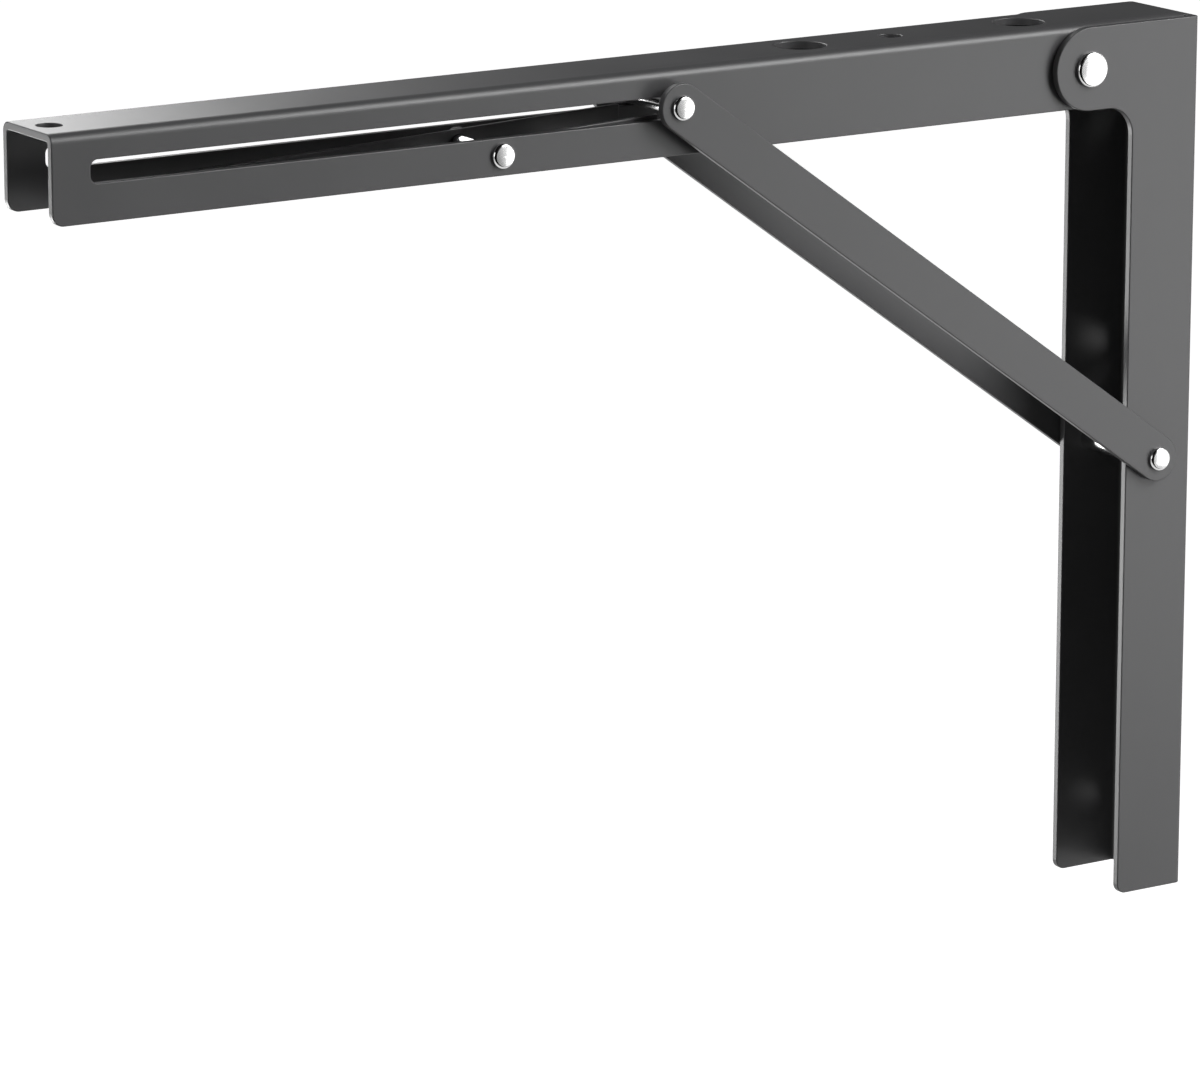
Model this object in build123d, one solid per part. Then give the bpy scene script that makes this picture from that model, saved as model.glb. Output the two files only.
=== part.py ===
"""Folding shelf bracket: a folded-sheet arm, a folded-sheet wall leg, a two-bar brace and a latch lever.

Millimetres, +Z up. The origin is the corner between the wall and the shelf: X = 0 is the wall face of
the leg, Z = 0 is the shelf face of the arm, and Y = 0 is the middle plane. The arm points to -X, the leg
hangs down to -Z and the front of the bracket faces -Y. The model stands open, as it carries a shelf.
"""

from build123d import *
import math
import os

# Sheet work
sheet = 1.8                 # arm, leg and brace bars
bend_inside = 0.8           # inside radius of the arm's and the leg's folds
arm_bend_outside = 2.2
leg_bend_outside = 1.2      # pressed sharper than the arm's
edge_break = 0.25           # rounding of the stamped edges

# Arm
arm_reach = 305.0           # wall face to arm tip
arm_width = 22.0
arm_height = 20.0
arm_tip_corner = 2.8
arm_heel_corner = 11.0      # lets the heel turn inside the leg
arm_heel_gap = 0.5          # arm's end to the inside of the leg's web

# Leg
leg_depth = 19.2
leg_length = 213.6          # from the shelf face
leg_below_shelf = 0.5       # leg's top edge, so that the shelf rests on the arm alone
leg_foot_corner = 2.5
ear_fillet = 7.0

# Hinge between arm and leg
hinge_from_wall = 31.8
hinge_below_top = 10.4
hinge_shank_r = 2.6
hinge_head_r = 4.3
hinge_head_height = 1.65
hinge_tail_r = 3.2
hinge_tail_height = 1.0

# Small rivets: lever, foot and slide pin
shank_r = 2.0
head_r = 2.9
head_height = 1.35
tail_r = 2.35
tail_height = 0.8
tail_bore_share = 0.62      # bore of a rolled tail, as a share of its shank
tail_bore_depth = 4.0
head_rim_share = 0.76       # of a head's height, below its dome
head_edge = 0.8             # rounding of the rim

# Brace
brace_width = 11.0
foot_from_wall = 11.1
foot_below_top = 105.9
pin_from_hinge = 115.8      # slide pin with the bracket open, measured along the arm

# Slot in both sides of the arm
slot_below_top = 6.3
slot_height = 5.15
slot_corner = 1.8
slot_run_on = 3.9           # room behind the pin with the bracket open

# Screw holes and the holes that let a screwdriver through
screw_hole_r = 2.85
access_hole_r = 6.15
shelf_hole_from_tip = 5.5
shelf_hole_from_hinge = 48.4
access_from_hinge = (11.6, 73.6)
wall_low_hole_from_foot = 16.0

# Latch lever
lever_sheet = 1.2
lever_bend_inside = 0.8
lever_bend_outside = 2.0
lever_from_hinge = 160.7
lever_below_top = 15.45
lever_rise = 0.040          # slope of its upper edge at rest
handle_from_tip = 15.0
handle_corner = 1.5
lever_edge_gap = 0.3        # lever's lower edge above the arm's lower edge
pawl_nose_height = 5.6
pawl_taper = 16.0
web_end_from_pawl = 14.0
web_window_length = 10.0
web_window_margin = 1.0     # between the window and the folds

# Lever spring
wire_r = 0.35
wire_elbow = 0.8            # radius of its bends, to the middle of the wire
coil_r = 2.45               # to the middle of the wire
coil_pitch = 0.76
coil_whole_turns = 2
spring_push_angle = 40.0    # of the leg that pushes the lever, below level
spring_drop_angle = 60.0    # of the leg that drops through the lever, from upright
spring_hook_reach = 12.0    # from the lever's rivet to the hook on the arm
spring_hook_height = 2.5

# Clearances
hinge_play = 0.05           # radial, between a rivet's shank and what turns on it
side_play = 0.05            # along a rivet, between parts that turn on each other
seat_play = 0.02            # radial, between a rivet's shank and what it holds
pin_play = 0.05             # slide pin to the slot's upper edge
pin_end_play = 0.1          # slide pin to the slot's tip end, folded
pin_brace_gap = 0.15        # slide pin and its spacers to the bars
pawl_gap = 0.2              # pawl's upper edge under the slide pin
pawl_nose_gap = 0.3         # pawl's nose short of the slide pin
spring_web_gap = 0.45       # spring's leg over the lever's web, which rises when the lever is pressed
spring_side_gap = 0.5       # coil to the lever's front side
spring_hook_gap = 0.15      # hook to the arm's rear side

# Spacers and washers
hinge_spacer_wall = 1.2
foot_spacer_wall = 1.0
slide_spacer_r = 3.5
washer_r = 3.6
hinge_washer_r = 5.2
hinge_washer = 0.25         # thickness
lever_washer = 0.5
foot_washer = 0.3

# Places worked out from the values above
front, rear = -1, 1
arm_half = arm_width / 2
arm_inner = arm_half - sheet
leg_inner = arm_half + hinge_washer + 2 * side_play
leg_half = leg_inner + sheet
leg_width = 2 * leg_half
lever_half_width = arm_inner - lever_washer - 2 * side_play
lever_inner = lever_half_width - lever_sheet
hinge_x = -hinge_from_wall
hinge_z = -hinge_below_top
ear_radius = hinge_below_top - leg_below_shelf
foot_x = -foot_from_wall
foot_z = -foot_below_top
slot_top = -slot_below_top
slot_bottom = slot_top - slot_height
pin_x = hinge_x - pin_from_hinge
pin_z = slot_top - pin_play - shank_r
lever_x = hinge_x - lever_from_hinge
lever_z = -lever_below_top
arm_tip = -arm_reach
arm_heel = -sheet - arm_heel_gap
arm_bottom = -arm_height
shelf_hole_x = (arm_tip + shelf_hole_from_tip, hinge_x - shelf_hole_from_hinge)
access_hole_x = [hinge_x - d for d in access_from_hinge]
wall_hole_z = [hinge_z - d for d in access_from_hinge] + [-leg_length + wall_low_hole_from_foot]
bar_inner = leg_half + foot_washer + side_play
bar_outer = bar_inner + sheet
brace_length = math.hypot(foot_x - pin_x, foot_z - pin_z)

# Folded, the arm hangs beside the leg, and the pin lies where the brace reaches the slot's line.
foot_off_slot = (foot_x - hinge_x) + (pin_z - hinge_z)
folded_pin = hinge_z - foot_z + math.sqrt(brace_length**2 - foot_off_slot**2)
slot_tip = hinge_x - folded_pin - shank_r - pin_end_play
slot_heel = pin_x + shank_r + slot_run_on

handle_x = arm_tip + handle_from_tip
pawl_x = pin_x - shank_r - pawl_nose_gap
pawl_top = pin_z - shank_r - pawl_gap
lever_bottom = arm_bottom + lever_edge_gap


def along_y(shape, x, z):
    """Moves a shape that was made on the Y axis to the axis through (x, z)."""
    return Pos(x, 0, z) * shape


def rod(radius, y_from, y_to):
    """A round bar on the Y axis."""
    return Pos(0, (y_from + y_to) / 2, 0) * Rot(90, 0, 0) * Cylinder(radius, abs(y_to - y_from))


def ring(outer, inner, y_from, y_to):
    """A tube or washer on the Y axis."""
    return rod(outer, y_from, y_to) - rod(inner, y_from, y_to)


def side_plate(outline, half_width):
    """A solid with the given outline in side view, as wide as the folded part it is cut from."""
    return extrude(Plane.XZ * outline, half_width, both=True)


def channel(length, width, depth, thickness, inside_radius, outside_radius):
    """A folded U section: web on top at Z = 0, open below, running from X = 0 to +X."""
    outer = Pos(0, -depth / 2) * Rectangle(width, depth)
    outer = fillet(outer.vertices().group_by(Axis.Y)[-1], outside_radius)
    inner = Pos(0, -depth / 2 - thickness) * Rectangle(width - 2 * thickness, depth)
    inner = fillet(inner.vertices().group_by(Axis.Y)[-1], inside_radius)
    return extrude(Plane.YZ * (outer - inner), length)


def corner_point(sketch, x, z):
    """The vertex of a sketch that lies nearest to a point."""
    return sketch.vertices().sort_by_distance(Vector(x, z, 0))[0]


def sharp_edges(solid):
    """The edges where two faces meet at an angle, so not where a flat runs into a fold."""
    meeting = {}
    for face in solid.faces():
        for edge in face.edges():
            middle = edge @ 0.5
            key = tuple(round(v, 3) for v in middle)
            meeting.setdefault(key, []).append((edge, face.normal_at(middle)))
    pairs = [pair for pair in meeting.values() if len(pair) == 2]
    return [pair[0][0] for pair in pairs if pair[0][1].get_angle(pair[1][1]) > 20]


def edges_broken(solid):
    """The same sheet part with its stamped edges slightly rounded."""
    return fillet(sharp_edges(solid), edge_break)


def rounded_slot():
    length = slot_heel - slot_tip
    middle = Pos((slot_heel + slot_tip) / 2, (slot_top + slot_bottom) / 2)
    return side_plate(middle * RectangleRounded(length, slot_height, slot_corner), arm_width)


def web_hole(radius, x):
    """A hole down through the arm's web."""
    return Pos(x, 0, 0) * Cylinder(radius, 4 * sheet)


def shelf_arm():
    length = arm_heel - arm_tip
    outline = Pos((arm_heel + arm_tip) / 2, arm_bottom / 2) * Rectangle(length, arm_height)
    outline = fillet(corner_point(outline, arm_tip, arm_bottom), arm_tip_corner)
    outline = fillet(corner_point(outline, arm_heel, arm_bottom), arm_heel_corner)
    arm = Pos(arm_tip, 0, 0) * channel(length, arm_width, arm_height, sheet, bend_inside, arm_bend_outside)
    arm = arm & side_plate(outline, arm_half)
    arm -= rounded_slot()
    for x in shelf_hole_x:
        arm -= web_hole(screw_hole_r, x)
    for x in access_hole_x:
        arm -= web_hole(access_hole_r, x)
    arm -= along_y(rod(hinge_shank_r + hinge_play, -arm_width, arm_width), hinge_x, hinge_z)
    arm -= along_y(rod(shank_r + seat_play, -arm_width, arm_width), lever_x, lever_z)
    return arm


def leg_outline():
    """Side view of the leg: a straight strip with a round ear that carries the hinge."""
    height = leg_length - leg_below_shelf
    strip = Pos(-leg_depth / 2, -leg_below_shelf - height / 2) * Rectangle(leg_depth, height)
    strip = fillet(corner_point(strip, -leg_depth, -leg_length), leg_foot_corner)
    block = Pos(hinge_x / 2, hinge_z) * Rectangle(hinge_from_wall, 2 * ear_radius)
    outline = strip + block + Pos(hinge_x, hinge_z) * Circle(ear_radius)
    return fillet(corner_point(outline, -leg_depth, hinge_z - ear_radius), ear_fillet)


def wall_leg():
    ear_depth = hinge_from_wall + ear_radius
    leg = Rot(0, 90, 0) * channel(leg_length, leg_width, ear_depth, sheet, bend_inside, leg_bend_outside)
    leg = leg & side_plate(leg_outline(), leg_half)
    for z in wall_hole_z:
        leg -= Pos(0, 0, z) * Rot(0, 90, 0) * Cylinder(screw_hole_r, 4 * sheet)
    leg -= along_y(rod(hinge_shank_r + seat_play, -leg_width, leg_width), hinge_x, hinge_z)
    leg -= along_y(rod(shank_r + seat_play, -leg_width, leg_width), foot_x, foot_z)
    return leg


def brace_bar(side):
    """A flat bar with round ends, from the foot rivet to the slide pin."""
    tilt = math.degrees(math.atan2(pin_z - foot_z, pin_x - foot_x))
    middle = Pos((pin_x + foot_x) / 2, (pin_z + foot_z) / 2)
    outline = middle * Rot(0, 0, tilt) * SlotCenterToCenter(brace_length, brace_width)
    bar = Pos(0, side * (bar_inner + sheet / 2), 0) * side_plate(outline, sheet / 2)
    bar -= along_y(rod(shank_r + hinge_play, -leg_width, leg_width), foot_x, foot_z)
    bar -= along_y(rod(shank_r + seat_play, -leg_width, leg_width), pin_x, pin_z)
    return bar


def domed_head(radius, height, y_face):
    """A rivet head on the front: a straight rim with a rounded edge, under a shallow dome."""
    dome = height * (1 - head_rim_share)
    dome_r = (radius**2 + dome**2) / (2 * dome)
    arc = CenterArc((0, y_face - height + dome_r), dome_r, -90, math.degrees(math.asin(radius / dome_r)))
    half = make_face(Curve() + [arc, Polyline(arc @ 1, (radius, y_face), (0, y_face), arc @ 0)])
    half = fillet(half.vertices().sort_by_distance(arc @ 1)[0], head_edge)
    return revolve(half, Axis.Y)


def rolled_tail(shank, radius, height, y_face):
    """The tubular end of a rivet on the rear, rolled outward over the sheet. It is hollow."""
    bore = shank * tail_bore_share
    roll = height / 2
    ring_face = Pos((radius + bore) / 2, y_face + roll) * RectangleRounded(radius - bore, height, roll * 0.8)
    return revolve(ring_face, Axis.Y)


def rivet(shank, head, head_h, tail, tail_h, y_half):
    """A tubular rivet: domed head in front, straight shank, rolled tail behind."""
    body = domed_head(head, head_h, -y_half) + rod(shank, -y_half, y_half + tail_h / 2)
    body += rolled_tail(shank, tail, tail_h, y_half)
    return body - rod(shank * tail_bore_share, y_half - tail_bore_depth, y_half + 2 * tail_h)


def lever_outline():
    """Side view of the lever: handle at the tip end, pawl nose beside the slide pin."""
    handle_top = pawl_top - lever_rise * (pawl_x - handle_x)
    nose_bottom = pawl_top - pawl_nose_height
    points = [
        (handle_x, lever_bottom),
        (pawl_x - pawl_taper, lever_bottom),
        (pawl_x, nose_bottom),
        (pawl_x, pawl_top),
        (handle_x, handle_top),
    ]
    outline = make_face(Polyline(*points, close=True))
    return fillet(corner_point(outline, handle_x, handle_top), handle_corner)


def release_lever():
    length = pawl_x - handle_x
    depth = pawl_top - lever_bottom
    width = 2 * lever_half_width
    lever = channel(length, width, depth, lever_sheet, lever_bend_inside, lever_bend_outside)
    lever = Rot(180, 0, 0) * lever
    lever = Pos(handle_x, 0, lever_bottom) * lever
    lever = lever & side_plate(lever_outline(), lever_half_width)
    above_web = 2 * (lever_sheet + lever_bend_inside)
    window_width = 2 * (lever_inner - lever_bend_inside - web_window_margin)
    open_end = Pos(pawl_x, 0, lever_bottom) * Box(2 * web_end_from_pawl, 2 * lever_inner, above_web)
    window = Pos(lever_x, 0, lever_bottom) * Box(web_window_length, window_width, above_web)
    lever -= open_end
    lever -= window
    return lever - along_y(rod(shank_r + hinge_play, -arm_width, arm_width), lever_x, lever_z)


def lever_spring():
    """A torsion spring on the lever's rivet, wound beside the lever's front side.

    One leg lies over the lever's web on the handle's side and pushes it down. The other drops through
    the web's window, runs under the lever and hooks round the lower edge of the arm's rear side.
    The wire's line is worked out round the rivet, with X as it lies, Y as height and Z towards the front.
    """
    start_angle = -spring_drop_angle
    turned = (90 + spring_push_angle - start_angle) + 360 * coil_whole_turns
    width = coil_pitch * turned / 360
    coil_end = lever_inner - spring_side_gap - wire_r
    coil = Rot(0, 0, start_angle) * Pos(0, 0, coil_end - width) * Helix(coil_pitch, width, coil_r)

    push_height = lever_bottom + lever_sheet + wire_r + spring_web_gap - lever_z
    push_run = (push_height - (coil @ 1).Y) / (coil % 1).Y
    push_leg = Line(coil @ 1, coil @ 1 + (coil % 1) * push_run)

    hook_height = arm_bottom - wire_r - side_play - lever_z
    drop_run = ((coil @ 0).Y - hook_height) / (coil % 0).Y
    drop_end = coil @ 0 - (coil % 0) * drop_run
    hook_side = -(arm_half + spring_hook_gap + wire_r)
    hook_leg = FilletPolyline(
        (-spring_hook_reach, hook_height + spring_hook_height, hook_side),
        (-spring_hook_reach, hook_height, hook_side),
        (-spring_hook_reach, hook_height, drop_end.Z),
        drop_end,
        coil @ 0,
        radius=wire_elbow,
    )
    line = Wire([*hook_leg.edges(), coil.edge(), push_leg.edge()])
    wire = sweep(Plane(origin=line @ 0, z_dir=line % 0) * Circle(wire_r), path=line)
    return along_y(Rot(90, 0, 0) * wire, lever_x, lever_z)


def hinge_parts():
    """The main rivet, the tube that keeps the arm's sides apart, and a washer at each ear."""
    shank = hinge_shank_r
    whole = rivet(shank, hinge_head_r, hinge_head_height, hinge_tail_r, hinge_tail_height, leg_half)
    spacer_half = arm_inner - side_play
    bore = shank + seat_play
    spacer = ring(bore + hinge_spacer_wall, bore, -spacer_half, spacer_half)
    parts = {"hinge_rivet": whole, "hinge_spacer": spacer}
    for name, side in (("front", front), ("rear", rear)):
        inner = side * (arm_half + side_play)
        parts[f"hinge_washer_{name}"] = ring(hinge_washer_r, bore, inner, inner + side * hinge_washer)
    return {name: along_y(part, hinge_x, hinge_z) for name, part in parts.items()}


def foot_parts():
    """The foot rivet, the tube inside the leg, and a washer under each bar."""
    bore = shank_r + seat_play
    parts = {
        "foot_rivet": rivet(shank_r, head_r, head_height, tail_r, tail_height, bar_outer + side_play),
        "foot_spacer": ring(bore + foot_spacer_wall, bore, -leg_inner, leg_inner),
    }
    for name, side in (("front", front), ("rear", rear)):
        parts[f"foot_washer_{name}"] = ring(washer_r, bore, side * leg_half, side * (leg_half + foot_washer))
    return {name: along_y(part, foot_x, foot_z) for name, part in parts.items()}


def lever_parts():
    """The lever's rivet, and a washer at each side of the lever."""
    bore = shank_r + seat_play
    parts = {"lever_rivet": rivet(shank_r, head_r, head_height, tail_r, tail_height, arm_half)}
    for name, side in (("front", front), ("rear", rear)):
        inner = side * (lever_half_width + side_play)
        parts[f"lever_washer_{name}"] = ring(washer_r, bore, inner, inner + side * lever_washer)
    return {name: along_y(part, lever_x, lever_z) for name, part in parts.items()}


def slide_parts():
    """The sliding rivet of the brace. Its middle slides with the arm, its ends stay on the bars."""
    bore = shank_r + seat_play
    pin_half = bar_inner - pin_brace_gap
    whole = rivet(shank_r, head_r, head_height, tail_r, tail_height, bar_outer)
    beyond = 4 * bar_outer
    front_end = Pos(0, -bar_inner - beyond / 2, 0) * Box(beyond, beyond, beyond)
    rear_end = Pos(0, bar_inner + beyond / 2, 0) * Box(beyond, beyond, beyond)
    parts = {
        "slide_pin": rod(shank_r, -pin_half, pin_half),
        "slide_rivet_head": whole & front_end,
        "slide_rivet_tail": whole & rear_end,
    }
    for name, side in (("front", front), ("rear", rear)):
        inner = side * (arm_half + side_play)
        parts[f"slide_spacer_{name}"] = ring(slide_spacer_r, bore, inner, side * pin_half)
    return {name: along_y(part, pin_x, pin_z) for name, part in parts.items()}


def bracket():
    """Every piece of the bracket by name."""
    parts = {
        "shelf_arm": edges_broken(shelf_arm()),
        "wall_leg": edges_broken(wall_leg()),
        "brace_bar_front": edges_broken(brace_bar(front)),
        "brace_bar_rear": edges_broken(brace_bar(rear)),
        "release_lever": edges_broken(release_lever()),
        "lever_spring": lever_spring(),
    }
    for group in (hinge_parts(), foot_parts(), lever_parts(), slide_parts()):
        parts.update(group)
    return parts


os.makedirs("parts", exist_ok=True)
for part_name, part in bracket().items():
    export_step(part, f"parts/{part_name}.step")
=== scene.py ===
"""Looks of the folding shelf bracket: powder-coated folded sheet with bright nickel rivets.

Metres, in the bracket's own frame: X = 0 is the wall face, Z = 0 the shelf face, Y = 0 the middle plane.
The camera stands in front of the bracket, to the left of it and above.
"""

import math

import bpy
from mathutils import Matrix, Vector


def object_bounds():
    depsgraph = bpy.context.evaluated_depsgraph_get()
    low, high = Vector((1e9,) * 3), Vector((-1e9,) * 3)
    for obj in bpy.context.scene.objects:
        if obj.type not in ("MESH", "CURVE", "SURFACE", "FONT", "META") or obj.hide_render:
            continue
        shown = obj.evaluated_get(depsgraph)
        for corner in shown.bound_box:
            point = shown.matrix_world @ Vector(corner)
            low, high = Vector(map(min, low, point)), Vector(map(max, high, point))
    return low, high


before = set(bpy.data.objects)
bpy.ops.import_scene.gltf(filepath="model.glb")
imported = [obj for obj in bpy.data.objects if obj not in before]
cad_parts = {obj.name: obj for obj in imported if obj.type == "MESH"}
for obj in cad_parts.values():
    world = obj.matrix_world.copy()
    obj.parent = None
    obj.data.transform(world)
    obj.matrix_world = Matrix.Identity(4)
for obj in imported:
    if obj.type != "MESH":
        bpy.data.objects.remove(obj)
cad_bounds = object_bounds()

MM = 0.001
IMAGE_WIDTH = 1200
WHITE = (1.0, 1.0, 1.0, 1.0)

# Camera, from a fit of the bracket's corners
FOCAL_PIXELS = 6481.6
SENSOR_MM = 36.0
CAMERA_PLACE = Vector((-939.9, -1208.7, 242.2)) * MM
CAMERA_YAW = math.radians(32.840)       # from +Y towards +X
CAMERA_DOWN = math.radians(13.692)
CAMERA_ROLL = math.radians(0.043)

# Studio: each softbox has a place in metres, a width in metres and a power in watts
LIT_POINT = Vector((-0.15, 0.0, -0.06))
SOFTBOXES = {
    "key_front_right": ((0.45, -0.75, 0.45), 0.5, 6.0),
    "high_right": ((0.55, -0.75, 0.75), 0.8, 8.7),
    "low_right": ((0.50, -0.60, -0.20), 0.4, 1.4),
    "left": ((-0.90, -0.10, 0.10), 0.4, 1.1),
    "low_behind_leg": ((-0.40, 0.60, -0.27), 0.3, 2.5),
    "behind_arm": ((-0.15, 0.55, 0.25), 0.4, 2.1),
    "behind_tip": ((-0.35, 0.25, 0.30), 0.3, 1.1),
}
BRIGHT_WALL = (0.8, -0.6, 0.0)          # its heading from the bracket
WALL_EDGE = 0.6                         # cosine off that heading at which the wall starts to show
WALL_FULL = 1.1                         # past 1, so that the wall is still brightening at its middle
WALL_GLOW = 1.2
EVEN_LIGHT = 0.05

# White floor
FLOOR_DROP = 0.3
FLOOR_FRONT = 0.4                       # the floor ends here, so that the heads mirror the dark studio
FLOOR_REACH = 6.0
FLOOR_COLOUR = "#c8c8c8"
FLOOR_GLOW = 1.0

# Charcoal powder coat
COATED = ("shelf_arm", "wall_leg", "brace_bar_front", "brace_bar_rear", "release_lever")
COAT_DARK, COAT_PALE = "#434344", "#474748"
COAT_SHADES = (0.3, 0.7)                # the noise levels that get the dark and the pale shade
COAT_CLOUD_MM = 30
COAT_PEEL_MM = 0.9
COAT_PEEL_DEPTH_MM = 0.02
COAT_PEEL_STRENGTH = 0.12
COAT_ROUGHNESS = (0.36, 0.42)

# Nickel plate, on every piece that is neither coated nor wire
NICKEL = "#dedede"
NICKEL_HAZE_MM = 1.5
NICKEL_ROUGHNESS = (0.14, 0.22)

# Spring wire
WIRE = ("lever_spring",)
STEEL = "#8d8d8f"
WIRE_GRAIN_MM = 0.4
WIRE_ROUGHNESS = (0.25, 0.38)


def linear(code):
    """An sRGB hex colour as linear RGBA."""
    channels = [int(code[i:i + 2], 16) / 255 for i in (1, 3, 5)]
    return [c / 12.92 if c <= 0.04045 else ((c + 0.055) / 1.055) ** 2.4 for c in channels] + [1.0]


def add(tree, kind, inputs=None, **settings):
    """Adds a node, with its settings, and with its inputs set or linked."""
    made = tree.nodes.new(kind)
    for name, value in settings.items():
        setattr(made, name, value)
    for name, value in (inputs or {}).items():
        if isinstance(value, bpy.types.NodeSocket):
            tree.links.new(value, made.inputs[name])
        else:
            made.inputs[name].default_value = value
    return made


def new_material(name):
    """A material with no nodes yet, and its node tree."""
    material = bpy.data.materials.new(name)
    material.use_nodes = True
    material.node_tree.nodes.clear()
    return material, material.node_tree


def per_metre(size_mm):
    """The scale of a noise whose grains are about this size."""
    return 1 / (size_mm * MM)


def powder_coat():
    """Satin polyester powder coat, sprayed on and baked: charcoal, with a faint orange peel."""
    material, tree = new_material("satin_powder_coat")
    place = add(tree, "ShaderNodeTexCoord").outputs["Object"]
    cloud = add(tree, "ShaderNodeTexNoise", {
        "Vector": place, "Scale": per_metre(COAT_CLOUD_MM), "Detail": 3.0,
    })
    colour = add(tree, "ShaderNodeValToRGB", {"Fac": cloud.outputs["Fac"]})
    for stop, level, shade in zip(colour.color_ramp.elements, COAT_SHADES, (COAT_DARK, COAT_PALE)):
        stop.position = level
        stop.color = linear(shade)
    peel = add(tree, "ShaderNodeTexNoise", {
        "Vector": place, "Scale": per_metre(COAT_PEEL_MM), "Detail": 2.0,
    })
    bump = add(tree, "ShaderNodeBump", {
        "Height": peel.outputs["Fac"],
        "Strength": COAT_PEEL_STRENGTH,
        "Distance": COAT_PEEL_DEPTH_MM * MM,
    })
    gloss = add(tree, "ShaderNodeMapRange", {
        "Value": cloud.outputs["Fac"], "To Min": COAT_ROUGHNESS[0], "To Max": COAT_ROUGHNESS[1],
    })
    shader = add(tree, "ShaderNodeBsdfPrincipled", {
        "Base Color": colour.outputs["Color"],
        "Roughness": gloss.outputs["Result"],
        "Normal": bump.outputs["Normal"],
    })
    add(tree, "ShaderNodeOutputMaterial", {"Surface": shader.outputs["BSDF"]})
    return material


def nickel_plate():
    """Bright nickel on steel: a mirror with a little haze."""
    material, tree = new_material("bright_nickel_plate")
    place = add(tree, "ShaderNodeTexCoord").outputs["Object"]
    haze = add(tree, "ShaderNodeTexNoise", {
        "Vector": place, "Scale": per_metre(NICKEL_HAZE_MM), "Detail": 3.0,
    })
    gloss = add(tree, "ShaderNodeMapRange", {
        "Value": haze.outputs["Fac"], "To Min": NICKEL_ROUGHNESS[0], "To Max": NICKEL_ROUGHNESS[1],
    })
    shader = add(tree, "ShaderNodeBsdfPrincipled", {
        "Base Color": linear(NICKEL),
        "Metallic": 1.0,
        "Roughness": gloss.outputs["Result"],
    })
    add(tree, "ShaderNodeOutputMaterial", {"Surface": shader.outputs["BSDF"]})
    return material


def spring_wire():
    """Drawn spring steel: grey and silky."""
    material, tree = new_material("drawn_spring_wire")
    place = add(tree, "ShaderNodeTexCoord").outputs["Object"]
    grain = add(tree, "ShaderNodeTexNoise", {
        "Vector": place, "Scale": per_metre(WIRE_GRAIN_MM), "Detail": 2.0,
    })
    gloss = add(tree, "ShaderNodeMapRange", {
        "Value": grain.outputs["Fac"], "To Min": WIRE_ROUGHNESS[0], "To Max": WIRE_ROUGHNESS[1],
    })
    shader = add(tree, "ShaderNodeBsdfPrincipled", {
        "Base Color": linear(STEEL),
        "Metallic": 1.0,
        "Roughness": gloss.outputs["Result"],
    })
    add(tree, "ShaderNodeOutputMaterial", {"Surface": shader.outputs["BSDF"]})
    return material


def dress(nodes):
    """Gives each piece its finish."""
    coat, nickel, wire = powder_coat(), nickel_plate(), spring_wire()
    for name, piece in nodes.items():
        finish = coat if name in COATED else wire if name in WIRE else nickel
        for slot in piece.material_slots:
            slot.material = finish


def make_world():
    """White where the camera looks past the bracket. Gloss mirrors a white wall to the right of the
    camera and darkness elsewhere, and an even, faint light comes from all sides."""
    world = bpy.data.worlds.new("studio")
    world.use_nodes = True
    tree = world.node_tree
    tree.nodes.clear()
    bpy.context.scene.world = world
    path = add(tree, "ShaderNodeLightPath")
    heading = add(tree, "ShaderNodeTexCoord").outputs["Generated"]
    towards = add(tree, "ShaderNodeVectorMath", {0: heading, 1: BRIGHT_WALL}, operation="DOT_PRODUCT")
    wall = add(tree, "ShaderNodeMapRange", {
        "Value": towards.outputs["Value"], "From Min": WALL_EDGE, "From Max": WALL_FULL,
    }, interpolation_type="SMOOTHSTEP")
    glow = add(tree, "ShaderNodeMath", {0: wall.outputs["Result"], 1: WALL_GLOW}, operation="MULTIPLY")
    mirrored = add(tree, "ShaderNodeMath", {
        0: path.outputs["Is Glossy Ray"], 1: path.outputs["Is Transmission Ray"],
    }, operation="MAXIMUM")
    even = add(tree, "ShaderNodeBackground", {"Color": WHITE, "Strength": EVEN_LIGHT})
    studio = add(tree, "ShaderNodeBackground", {"Color": WHITE, "Strength": glow.outputs["Value"]})
    backdrop = add(tree, "ShaderNodeBackground", {"Color": WHITE, "Strength": 1.0})
    lit = add(tree, "ShaderNodeMixShader", {
        0: mirrored.outputs["Value"], 1: even.outputs[0], 2: studio.outputs[0],
    })
    shown = add(tree, "ShaderNodeMixShader", {
        0: path.outputs["Is Camera Ray"], 1: lit.outputs[0], 2: backdrop.outputs[0],
    })
    add(tree, "ShaderNodeOutputWorld", {"Surface": shown.outputs[0]})


def make_lamps():
    """Square softboxes round the bracket, each turned to its middle. The camera doesn't see them."""
    for name, (place, size, watts) in SOFTBOXES.items():
        lamp = bpy.data.lights.new(name, "AREA")
        lamp.shape = "SQUARE"
        lamp.size = size
        lamp.energy = watts
        box = bpy.data.objects.new(name, lamp)
        box.location = place
        box.rotation_euler = (LIT_POINT - Vector(place)).to_track_quat("-Z", "Y").to_euler()
        box.visible_camera = False
        bpy.context.scene.collection.objects.link(box)


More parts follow.
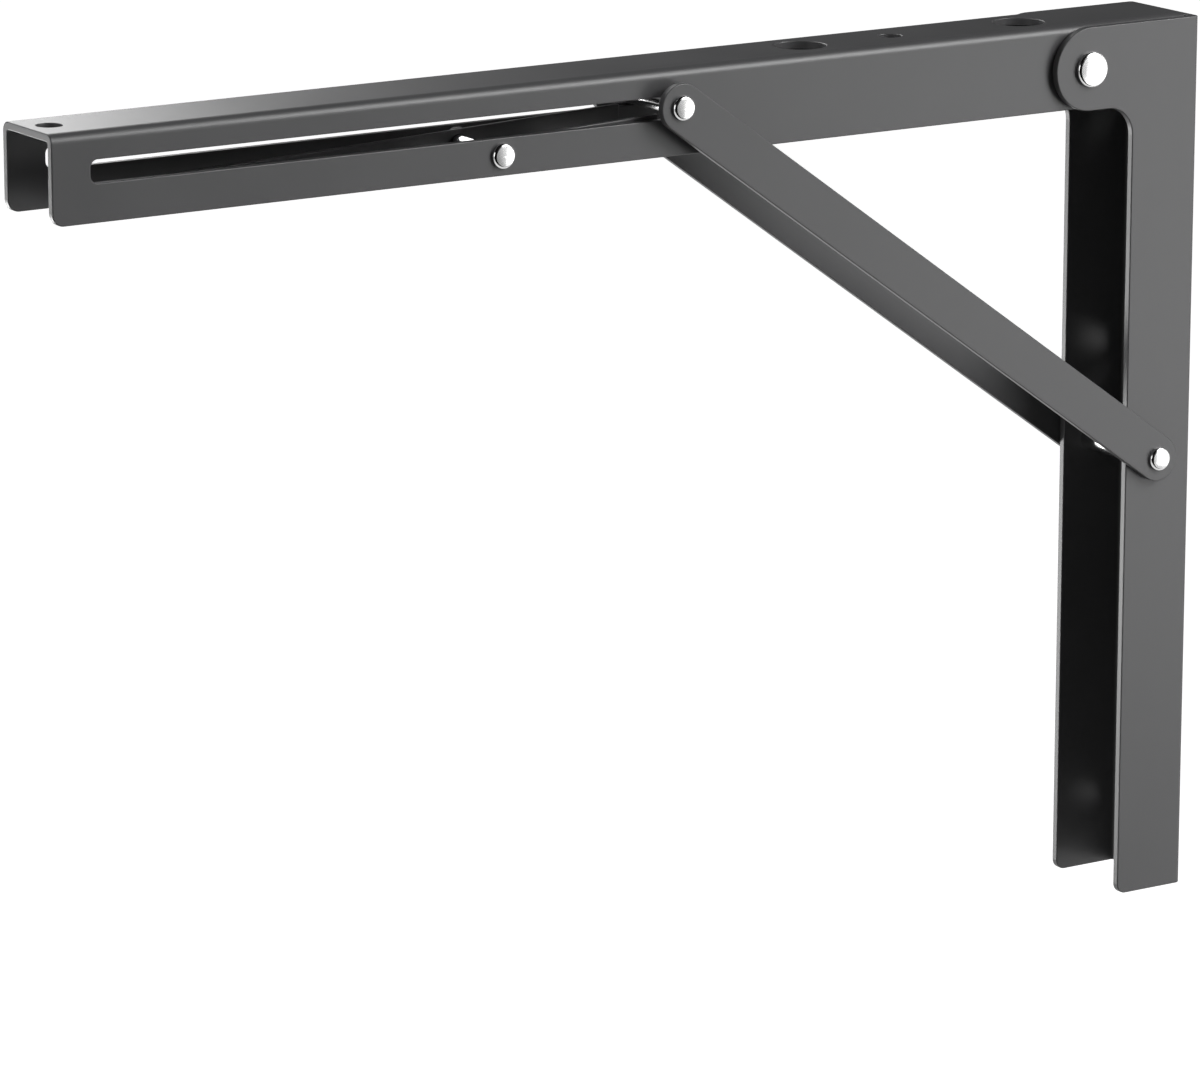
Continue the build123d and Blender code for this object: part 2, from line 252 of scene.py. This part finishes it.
def white_paper():
    """Matt paper that glows for the camera, so that it is as white as the backdrop, and is plain white
    in what gloss mirrors."""
    material, tree = new_material("white_floor")
    path = add(tree, "ShaderNodeLightPath")
    mirrored = add(tree, "ShaderNodeMath", {
        0: path.outputs["Is Glossy Ray"], 1: path.outputs["Is Transmission Ray"],
    }, operation="MAXIMUM")
    matt = add(tree, "ShaderNodeBsdfDiffuse", {"Color": linear(FLOOR_COLOUR)})
    glow = add(tree, "ShaderNodeEmission", {"Color": WHITE, "Strength": FLOOR_GLOW})
    lifted = add(tree, "ShaderNodeAddShader", {0: matt.outputs[0], 1: glow.outputs[0]})
    white = add(tree, "ShaderNodeEmission", {"Color": WHITE, "Strength": 1.0})
    unseen = add(tree, "ShaderNodeMixShader", {
        0: mirrored.outputs["Value"], 1: matt.outputs[0], 2: white.outputs[0],
    })
    shown = add(tree, "ShaderNodeMixShader", {
        0: path.outputs["Is Camera Ray"], 1: unseen.outputs[0], 2: lifted.outputs[0],
    })
    add(tree, "ShaderNodeOutputMaterial", {"Surface": shown.outputs[0]})
    return material


def make_floor():
    """A white floor some way below the foot, under the bracket and far behind it."""
    level = cad_bounds[0][2] - FLOOR_DROP
    corners = [
        (-FLOOR_REACH, -FLOOR_FRONT),
        (FLOOR_REACH, -FLOOR_FRONT),
        (FLOOR_REACH, FLOOR_REACH),
        (-FLOOR_REACH, FLOOR_REACH),
    ]
    mesh = bpy.data.meshes.new("floor")
    mesh.from_pydata([(x, y, level) for x, y in corners], [], [(0, 1, 2, 3)])
    floor = bpy.data.objects.new("floor", mesh)
    bpy.context.scene.collection.objects.link(floor)
    mesh.materials.append(white_paper())


def make_camera():
    """The camera at its fitted place, turned by yaw, down and roll in that order."""
    forward = Vector((
        math.sin(CAMERA_YAW) * math.cos(CAMERA_DOWN),
        math.cos(CAMERA_YAW) * math.cos(CAMERA_DOWN),
        -math.sin(CAMERA_DOWN),
    ))
    level = Vector((math.cos(CAMERA_YAW), -math.sin(CAMERA_YAW), 0))
    upright = level.cross(forward)
    right = math.cos(CAMERA_ROLL) * level + math.sin(CAMERA_ROLL) * upright
    up = -math.sin(CAMERA_ROLL) * level + math.cos(CAMERA_ROLL) * upright
    lens = bpy.data.cameras.new("camera")
    lens.sensor_fit = "HORIZONTAL"
    lens.sensor_width = SENSOR_MM
    lens.lens = FOCAL_PIXELS / IMAGE_WIDTH * SENSOR_MM
    camera = bpy.data.objects.new("camera", lens)
    turned = Matrix((right, up, -forward)).transposed().to_4x4()
    camera.matrix_world = Matrix.Translation(CAMERA_PLACE) @ turned
    bpy.context.scene.collection.objects.link(camera)
    bpy.context.scene.camera = camera


dress(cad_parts)
make_world()
make_lamps()
make_floor()
make_camera()
bpy.context.scene.view_settings.view_transform = "Standard"
